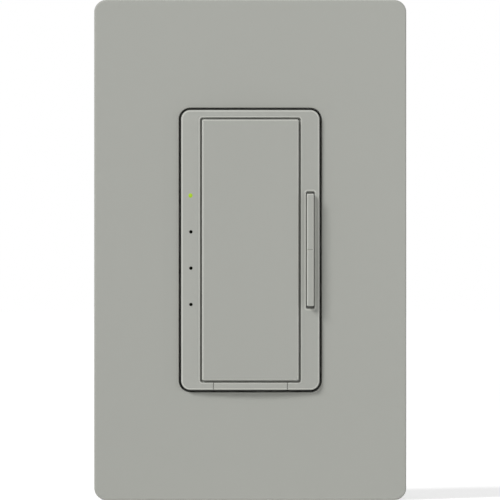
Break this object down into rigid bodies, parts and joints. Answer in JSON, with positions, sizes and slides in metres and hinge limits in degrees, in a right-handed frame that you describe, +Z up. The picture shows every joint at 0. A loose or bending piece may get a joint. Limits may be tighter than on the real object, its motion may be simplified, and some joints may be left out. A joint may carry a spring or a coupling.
{
  "type": "fan speed control switch",
  "caption": "Wall-mounted fan speed control with a screwless cover, tap paddle, raise/lower rocker, row of speed lights and a pull-out service tab.",
  "frame": {"origin": "middle of the device on the wall plane, at the cover's rear rim", "axes": "+X right and +Z up as seen from the front; +Y points into the wall, so the front faces -Y"},
  "size_m": [0.0746, 0.0409, 0.1194],
  "materials": {
    "black_metal": "black coated steel",
    "blue_metal": "blue coated steel",
    "board_laminate": "green circuit board",
    "brass_metal": "plain brass",
    "capacitor_plastic": "film capacitor box",
    "clear_plastic": "clear moulded light guide",
    "component_plastic": "dark moulded body",
    "control_plastic": "satin moulding, a little glossier than the plate",
    "copper_winding": "enamelled wire",
    "dark_indicator": "unlit light",
    "ferrite": "dark ferrite",
    "fibre": "pressed card",
    "green_screw": "green coated steel",
    "housing_plastic": "black moulded housing",
    "insulator_sheet": "thin dark sheet",
    "keypad_rubber": "soft silicone",
    "lit_indicator": "green light",
    "plate_plastic": "fine satin moulding",
    "spring_metal": "spring strip",
    "yoke_metal": "stamped sheet",
    "zinc_screw": "zinc plated steel"
  },
  "bodies": {
    "fixed_parts": {"adapter_screw_lower": "zinc_screw", "adapter_screw_upper": "zinc_screw", "airgap_contact_fixed": "brass_metal", "airgap_contact_spring": "spring_metal", "bezel_frame": "control_plastic", "board_header": "component_plastic", "box_screw_lower": "zinc_screw", "box_screw_retainer_lower": "fibre", "box_screw_retainer_upper": "fibre", "box_screw_upper": "zinc_screw", "choke_core": "ferrite", "choke_winding": "copper_winding", "companion_terminal_clamp": "blue_metal", "companion_terminal_plate": "blue_metal", "companion_terminal_screw": "blue_metal", "control_board": "board_laminate", "fan_capacitor_1": "capacitor_plastic", "fan_capacitor_2": "capacitor_plastic", "fusible_resistor": "component_plastic", "ground_screw": "green_screw", "housing_screw_1": "zinc_screw", "housing_screw_2": "zinc_screw", "housing_screw_3": "zinc_screw", "housing_screw_4": "zinc_screw", "indicator_led_1": "lit_indicator", "indicator_led_2": "dark_indicator", "indicator_led_3": "dark_indicator", "indicator_led_4": "dark_indicator", "light_guide": "clear_plastic", "line_terminal_clamp": "black_metal", "line_terminal_plate": "black_metal", "line_terminal_screw": "black_metal", "load_terminal_clamp": "brass_metal", "load_terminal_plate": "brass_metal", "load_terminal_screw": "brass_metal", "microcontroller": "component_plastic", "mounting_yoke": "yoke_metal", "paddle_return_spring": "spring_metal", "paddle_switch_body": "component_plastic", "power_board": "board_laminate", "raise_lower_keypad": "keypad_rubber", "rear_housing": "housing_plastic", "speed_relay_1": "component_plastic", "speed_relay_2": "component_plastic", "speed_relay_3": "component_plastic", "supply_capacitor": "component_plastic", "switch_insulator": "insulator_sheet", "varistor": "component_plastic", "wallplate_adapter": "plate_plastic", "wallplate_cover": "plate_plastic"},
    "paddle": {"tap_paddle": "control_plastic"},
    "plunger": {"paddle_switch_plunger": "component_plastic"},
    "rocker": {"speed_rocker": "control_plastic"},
    "tab": {"service_tab": "control_plastic"}
  },
  "joints": [
    {"name": "paddle_tilt", "type": "hinge", "parent": "fixed_parts", "child": "paddle", "pos_m": [0, -0.0052, 0.02925], "axis": [1, 0, 0], "range_deg": [0, 0.7], "stiffness_Nm_per_rad": 1, "springref_deg": -0.57, "deforming": ["paddle_return_spring"]},
    {"name": "plunger_press", "type": "slide", "parent": "fixed_parts", "child": "plunger", "axis": [0, 1, 0], "range_m": [0, 0.0003]},
    {"name": "rocker_tilt", "type": "hinge", "parent": "fixed_parts", "child": "rocker", "pos_m": [0.0143, -0.0058, 0], "axis": [1, 0, 0], "range_deg": [-2, 2], "stiffness_Nm_per_rad": 0.3, "deforming": ["raise_lower_keypad"]},
    {"name": "tab_pull", "type": "slide", "parent": "fixed_parts", "child": "tab", "axis": [0, -1, 0], "range_m": [0, 0.0035], "deforming": ["airgap_contact_spring"]}
  ],
  "couplings": [
    {"joint": "plunger_press", "follows": "paddle_tilt", "m_per_rad": 0.02425}
  ]
}
